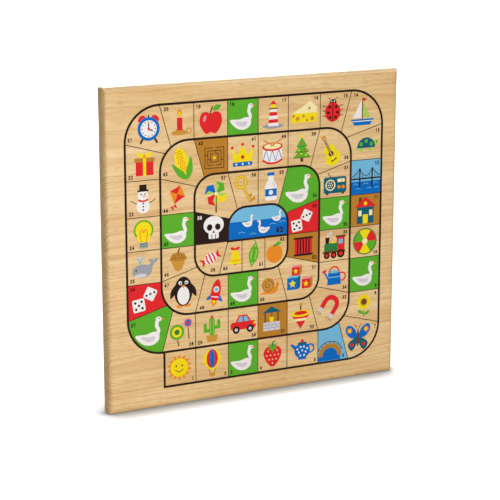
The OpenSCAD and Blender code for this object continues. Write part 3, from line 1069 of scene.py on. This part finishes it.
def prison(p):
    p.box("red", -12.5, -10.5, 12.5, 10.5)
    for x in (-8, -4, 0, 4, 8):
        p.line("black", 1.9, (x, -10.5), (x, 10.5))
    for y in (-10.8, 10.8):
        p.line("black", 2.4, (-12.5, y), (12.5, y))


def skull(p):
    p.box("white", -6, -12, 6, -3, 2)
    p.oval("white", 0, 3, 12, 10)
    for s in BOTH:
        p.oval("black", 4.8 * s, 0.8, 3.2, 3.6, 12 * s)
        p.line("black", 0.9, (2.2 * s, -11.5), (2.2 * s, -7.5))
    p.poly("black", (-1.5, -5.6), (1.5, -5.6), (0, -2.4))


def pond(p):
    goose(p.part(-21, 2, 0.55))
    goose(p.part(0, -7, 0.62, 0, -1))
    goose(p.part(19, 5, 0.5))
    for x, y in ((-30, -12), (-14, -15), (13, -5), (27, -3)):
        p.curve("light_blue", 0.8, (x - 4, y), (x, y + 1.2), (x + 4, y))


PICTURES = [
    sun, balloon, goose, strawberry, teapot, bridge, butterfly, sunflower, goose,
    beach_ball, inn, suspension_bridge, turtle, sailboat, ladybird, cheese, lighthouse, goose,
    apple, candle, alarm_clock, gift_box, snowman, light_bulb, whale, dice, goose,
    lollipops, cactus, car, well, spinning_top, magnet, watering_can, train, goose,
    radio, guitar, fir_tree, drum, crown, maze, corn, kite, goose,
    acorn, penguin, rocket, goose, snail, toy_cubes, prison, dice, goose,
    milk_bottle, key, pinwheel, skull, candy, bell, pea_pod, orange, pond,
]
# Pictures that are drawn to the size of their squares
SCENES = (bridge, suspension_bridge, maze, prison, pond)


# The goose track, as the frame has it: columns and rows from the lower left, squares in order

LANE, CORE = 44.7, 41.3
LANES, CORE_CELLS, CELLS = 3, 2, 8
TRACK_LEFT, TRACK_LOW = -173.4, 25.6
LAST_TURN, GOAL = 59, 63
FILM_SQUARES = {3, 6, 9, 11, 12, 18, 26, 27, 31, 36, 42, 45, 49, 52, 53, 54, 58, GOAL}
# Squares whose number stands at the corner that is reached first
EARLY_NUMBERS = {
    3, 4, 9, 10, 15, 16, 17, 26, 27, 29, 34, 36, 38, 39, 40, 41, *range(47, 51), 52, *range(54, 59)
}
NUMBER_H, GOAL_NUMBER_H = 3.8, 6.0
NUMBER_GAP_ALONG, NUMBER_GAP_OUT = 3.2, 4.0
# Room for a picture, and how far it or a number moves for a turn and its lines
ROOM, TURN_ROOM, BESIDE_TURN_ROOM = 35, 39, 31
TURN_SHIFT, BESIDE_TURN_SHIFT, BESIDE_TURN_GAP = 6.5, 3, 3
# The last squares are not whole cells: middle of the picture, its room, middle of the number
LAST_SQUARES = {
    59: ((-63, 182), (31, 31), (-60, 167)),
    60: ((-31, 180), (21, 29), (-43, 167)),
    61: ((-4, 182), (22, 34), (6.5, 167)),
    62: ((25, 180), (25, 27), (36, 196)),
    GOAL: ((9.2, 221.5), None, (32, 208.5)),
}
# Pictures that keep clear of their numbers or of a line: moved right, up, and scaled
NUDGES = {
    6: (-1.5, 0, 1.0), 7: (-1.5, -1, 0.95), 14: (0, 1.5, 0.9), 15: (-1.5, 0, 0.95),
    20: (3, 0, 0.92), 21: (2, 0.5, 0.88), 22: (2.5, 0.5, 0.9), 25: (1, 1.5, 0.95),
    31: (-1.5, 2, 0.9), 33: (-2.5, -2, 0.92), 37: (0, -1.5, 0.93), 40: (-1, -1.5, 0.9),
    41: (-0.5, -1.5, 0.92), 42: (1.5, -2.5, 0.9), 46: (0, 1.5, 0.94), 50: (-1.5, 0, 0.92),
    51: (2, 0.5, 0.93), 53: (-2.5, -1.5, 0.92), 58: (3, -1, 0.92), 60: (1.5, 1, 0.95),
}
PICTURE_TURNS = {33: -35, 38: 28, 43: 18, 44: -20, 48: -12, 56: 28, 59: 25, 61: 78}


def grid_line(n):
    return n * LANE - (LANE - CORE) * min(max(n - LANES, 0), CORE_CELLS)


def spiral_cells():
    """Column, row, way in and way out of each square up to the last turn."""
    taken = {(0, 0)}
    column, row = 1, 0
    way_in = (1, 0)
    cells = []
    while len(cells) < LAST_TURN:
        taken.add((column, row))
        way_out = way_in
        ahead = (column + way_in[0], row + way_in[1])
        if ahead in taken or max(ahead) >= CELLS or min(ahead) < 0:
            way_out = (-way_in[1], way_in[0])
        cells.append((column, row, way_in, way_out))
        column, row = column + way_out[0], row + way_out[1]
        way_in = way_out
    return cells


def cell_box(column, row):
    """Middle and half sizes of a cell of the track."""
    x0, x1 = grid_line(column), grid_line(column + 1)
    y0, y1 = grid_line(row), grid_line(row + 1)
    return (TRACK_LEFT + (x0 + x1) / 2, TRACK_LOW + (y0 + y1) / 2), ((x1 - x0) / 2, (y1 - y0) / 2)


def is_turn(cell):
    return cell[2] != cell[3]


def number_place(square, cells):
    """The number stands in an outer corner of its square."""
    column, row, way_in, way_out = cells[square - 1]
    middle, half = cell_box(column, row)
    early = square in EARLY_NUMBERS
    along = (-way_in[0], -way_in[1]) if early else way_out
    way = way_in if early else way_out
    out = (way[1], -way[0])
    gap_along = NUMBER_GAP_ALONG
    neighbour = square - 2 if early else square
    if neighbour < len(cells) and is_turn(cells[neighbour]):
        gap_along += BESIDE_TURN_GAP
    size = (number_width(square, NUMBER_H) / 2, NUMBER_H / 2)
    gaps = [gap_along if along[axis] else NUMBER_GAP_OUT for axis in (0, 1)]
    return [
        middle[axis] + (along[axis] + out[axis]) * (half[axis] - gaps[axis] - size[axis])
        for axis in (0, 1)
    ]


def picture_place(square, cells):
    """Middle and room of the picture, clear of the lines that lean beside a turn."""
    column, row, way_in, way_out = cells[square - 1]
    middle, _ = cell_box(column, row)
    if is_turn(cells[square - 1]):
        shift = [TURN_SHIFT * (b - a) for a, b in zip(way_in, way_out)]
        room = (TURN_ROOM, TURN_ROOM)
    else:
        before = square > 1 and is_turn(cells[square - 2])
        after = square < len(cells) and is_turn(cells[square])
        shift = [BESIDE_TURN_SHIFT * (before - after) * step for step in way_in]
        along = BESIDE_TURN_ROOM if before or after else ROOM
        room = (along, ROOM) if way_in[0] else (ROOM, along)
    return [middle[axis] + shift[axis] for axis in (0, 1)], room


def fitted(draw, face, middle, room, base, turn):
    """A picture of the largest size that its room takes."""
    trial = Picture(Face("trial", lambda *place: place), 0, 0, turn=turn)
    draw(trial)
    low_x, low_y, high_x, high_y, _ = zip(*trial.placed)
    x0, y0, x1, y1 = min(low_x), min(low_y), max(high_x), max(high_y)
    size = min(room[0] / (x1 - x0), room[1] / (y1 - y0))
    x = middle[0] - size * (x0 + x1) / 2
    y = middle[1] - size * (y0 + y1) / 2
    return Picture(face, x, y, base, size, turn)


def draw_track(face):
    cells = spiral_cells()
    for square, draw in enumerate(PICTURES, 1):
        if square in LAST_SQUARES:
            middle, room, number_at = LAST_SQUARES[square]
        else:
            middle, room = picture_place(square, cells)
            number_at = number_place(square, cells)
        base = FILM if square in FILM_SQUARES else 0.0
        right, up, size = NUDGES.get(square, (0, 0, 1.0))
        middle = (middle[0] + right, middle[1] + up)
        if draw in SCENES:
            picture = Picture(face, *middle, base, size)
        else:
            room = [size * span for span in room]
            picture = fitted(draw, face, middle, room, base, PICTURE_TURNS.get(square, 0))
        draw(picture)
        height = GOAL_NUMBER_H if draw is pond else NUMBER_H
        ink = "white" if draw is skull else "black"
        number(Picture(face, *number_at, base, placed=picture.placed), square, height, ink)


# The court on the back, as the frame has it: numbers run round the four arms

COURT_SQUARE_L, COURT_SQUARE_W = 32, 16
COURT_MIDDLE = 200
COURT_NUMBER_H = 3.4
ARM_ROWS = 8
# Lane and row of an arm's squares: the end of its middle lane, one side inward, the other outward
INWARD = range(ARM_ROWS)
ARM_SQUARES = [(0, 0), *((1, row) for row in INWARD), *((-1, row) for row in reversed(INWARD))]
START_SQUARE = (-1, 4)


def draw_court(face):
    """Each run of numbers goes in along one arm and out along the next."""
    far = 1.5 * COURT_SQUARE_L + ARM_ROWS * COURT_SQUARE_W
    count = len(ARM_SQUARES)
    for value in range(4 * count):
        lane, row = ARM_SQUARES[value % count]
        turn = -90 * (value // count + (lane < 0))
        (x, y), = spun([(lane * COURT_SQUARE_L, far - (row + 0.5) * COURT_SQUARE_W)], turn)
        base = FILM if (lane, row) == START_SQUARE else 0.0
        place = Picture(face, x, COURT_MIDDLE + y, base)
        number(place, value or 4 * count, COURT_NUMBER_H, "black")


front = Face("front", lambda x, y, height: (x * MM, (FRONT_Y - height) * MM, y * MM))
back = Face("back", lambda x, y, height: (-x * MM, (BACK_Y + height) * MM, y * MM))
draw_track(front)
draw_court(back)
front.build()
back.build()


# Camera, lights and floor

TARGET = Vector((-9.15 * MM, panel_low.y, 186.73 * MM))
AZIMUTH, ELEVATION = math.radians(-26.248), math.radians(13.876)
DISTANCE = 2035.3 * MM
LENS = 118.27
# Name, place and side in metres, and power in watts of each lamp
LAMPS = (
    ("key", (-0.55, -0.95, 0.25), 0.4, 4.55),
    ("front", (0.05, -1.6, 0.15), 0.3, 2.8),
    ("top", (0.6, -0.45, 1.65), 1.4, 12.5),
    ("rear", (0.6, 2.2, 1.2), 2.0, 38),
)
WORLD_FILL = 0.27
# The floor carries a painted contact shadow that darkens it towards whatever stands on it, and its own
# light lifts the rest of it to white
FLOOR_REACH, FLOOR_GREY, FLOOR_LIFT = 30.0, 0.8, 0.8
# Painted contact shadow: how far it reaches, the least openness it allows, and how strongly it darkens
# the floor's colour and its glow
CONTACT_SHADOW_REACH, CONTACT_SHADOW_LEAST = 38 * MM, 0.52
SHADE_POWER, GLOW_SHADOW_POWER = 1.3, 2.7


def aim(made, way):
    made.rotation_euler = way.to_track_quat("-Z", "Y").to_euler()


def add_camera():
    outward = Vector((
        math.sin(AZIMUTH) * math.cos(ELEVATION),
        -math.cos(AZIMUTH) * math.cos(ELEVATION),
        math.sin(ELEVATION),
    ))
    data = bpy.data.cameras.new("camera")
    data.lens = LENS
    camera = new_object(data)
    camera.location = TARGET + outward * DISTANCE
    aim(camera, -outward)
    bpy.context.scene.camera = camera


def add_lamp(name, place, side, power):
    """A square soft box that faces the board's middle."""
    data = bpy.data.lights.new(name, "AREA")
    data.shape = "SQUARE"
    data.size = side
    data.energy = power
    lamp = new_object(data)
    lamp.location = place
    aim(lamp, Vector((0, 0, BOARD / 2 * MM)) - lamp.location)


def seen_directly(nodes):
    """1 for rays that show the background itself, 0 for rays that only carry light."""
    path = nodes.add("ShaderNodeLightPath").outputs
    reflected = nodes.math("MAXIMUM", path["Is Glossy Ray"], path["Is Transmission Ray"])
    return nodes.math("MAXIMUM", path["Is Camera Ray"], reflected)


def add_world():
    """White behind the board, and an even fill light."""
    nodes = Nodes(bpy.data.worlds.new("studio"))
    bpy.context.scene.world = nodes.owner
    seen = seen_directly(nodes)
    level = nodes.out("ShaderNodeMapRange", {"Value": seen, "To Min": WORLD_FILL, "To Max": 1.0})
    white = nodes.out("ShaderNodeBackground", {"Color": (1, 1, 1, 1), "Strength": level})
    nodes.add("ShaderNodeOutputWorld", {"Surface": white})


def add_floor():
    """A pale floor that takes the lamps' real shadows of the board and a painted contact shadow round
    its foot, and otherwise runs into the white behind it.
    """
    mesh = bpy.data.meshes.new("floor")
    corners = [(FLOOR_REACH * x, FLOOR_REACH * y, 0) for x, y in ((-1, -1), (1, -1), (1, 1), (-1, 1))]
    mesh.from_pydata(corners, [], [(0, 1, 2, 3)])
    floor = new_object(mesh)
    nodes = Nodes(bpy.data.materials.new("floor"))
    seen = seen_directly(nodes)
    # Painted contact shadow: ambient occlusion near the board darkens the floor's colour and glow for
    # rays that see the floor directly
    near = nodes.add("ShaderNodeAmbientOcclusion", {"Distance": CONTACT_SHADOW_REACH}).outputs["AO"]
    near = nodes.math("MAXIMUM", near, CONTACT_SHADOW_LEAST)
    shade = nodes.math("MULTIPLY_ADD", seen, nodes.math("SUBTRACT", near, 1.0), 1.0)
    grey = nodes.math("MULTIPLY", nodes.math("POWER", shade, SHADE_POWER), FLOOR_GREY)
    lift = nodes.math("MULTIPLY", seen, FLOOR_LIFT)
    level = nodes.math("MULTIPLY", nodes.math("POWER", near, GLOW_SHADOW_POWER), lift)
    matte = nodes.out("ShaderNodeBsdfDiffuse", {"Color": grey})
    glow = nodes.out("ShaderNodeEmission", {"Strength": level})
    both = nodes.out("ShaderNodeAddShader", {0: matte, 1: glow})
    nodes.add("ShaderNodeOutputMaterial", {"Surface": both})
    mesh.materials.append(nodes.owner)


bpy.context.scene.view_settings.view_transform = "Standard"
add_camera()
for lamp_row in LAMPS:
    add_lamp(*lamp_row)
add_world()
add_floor()
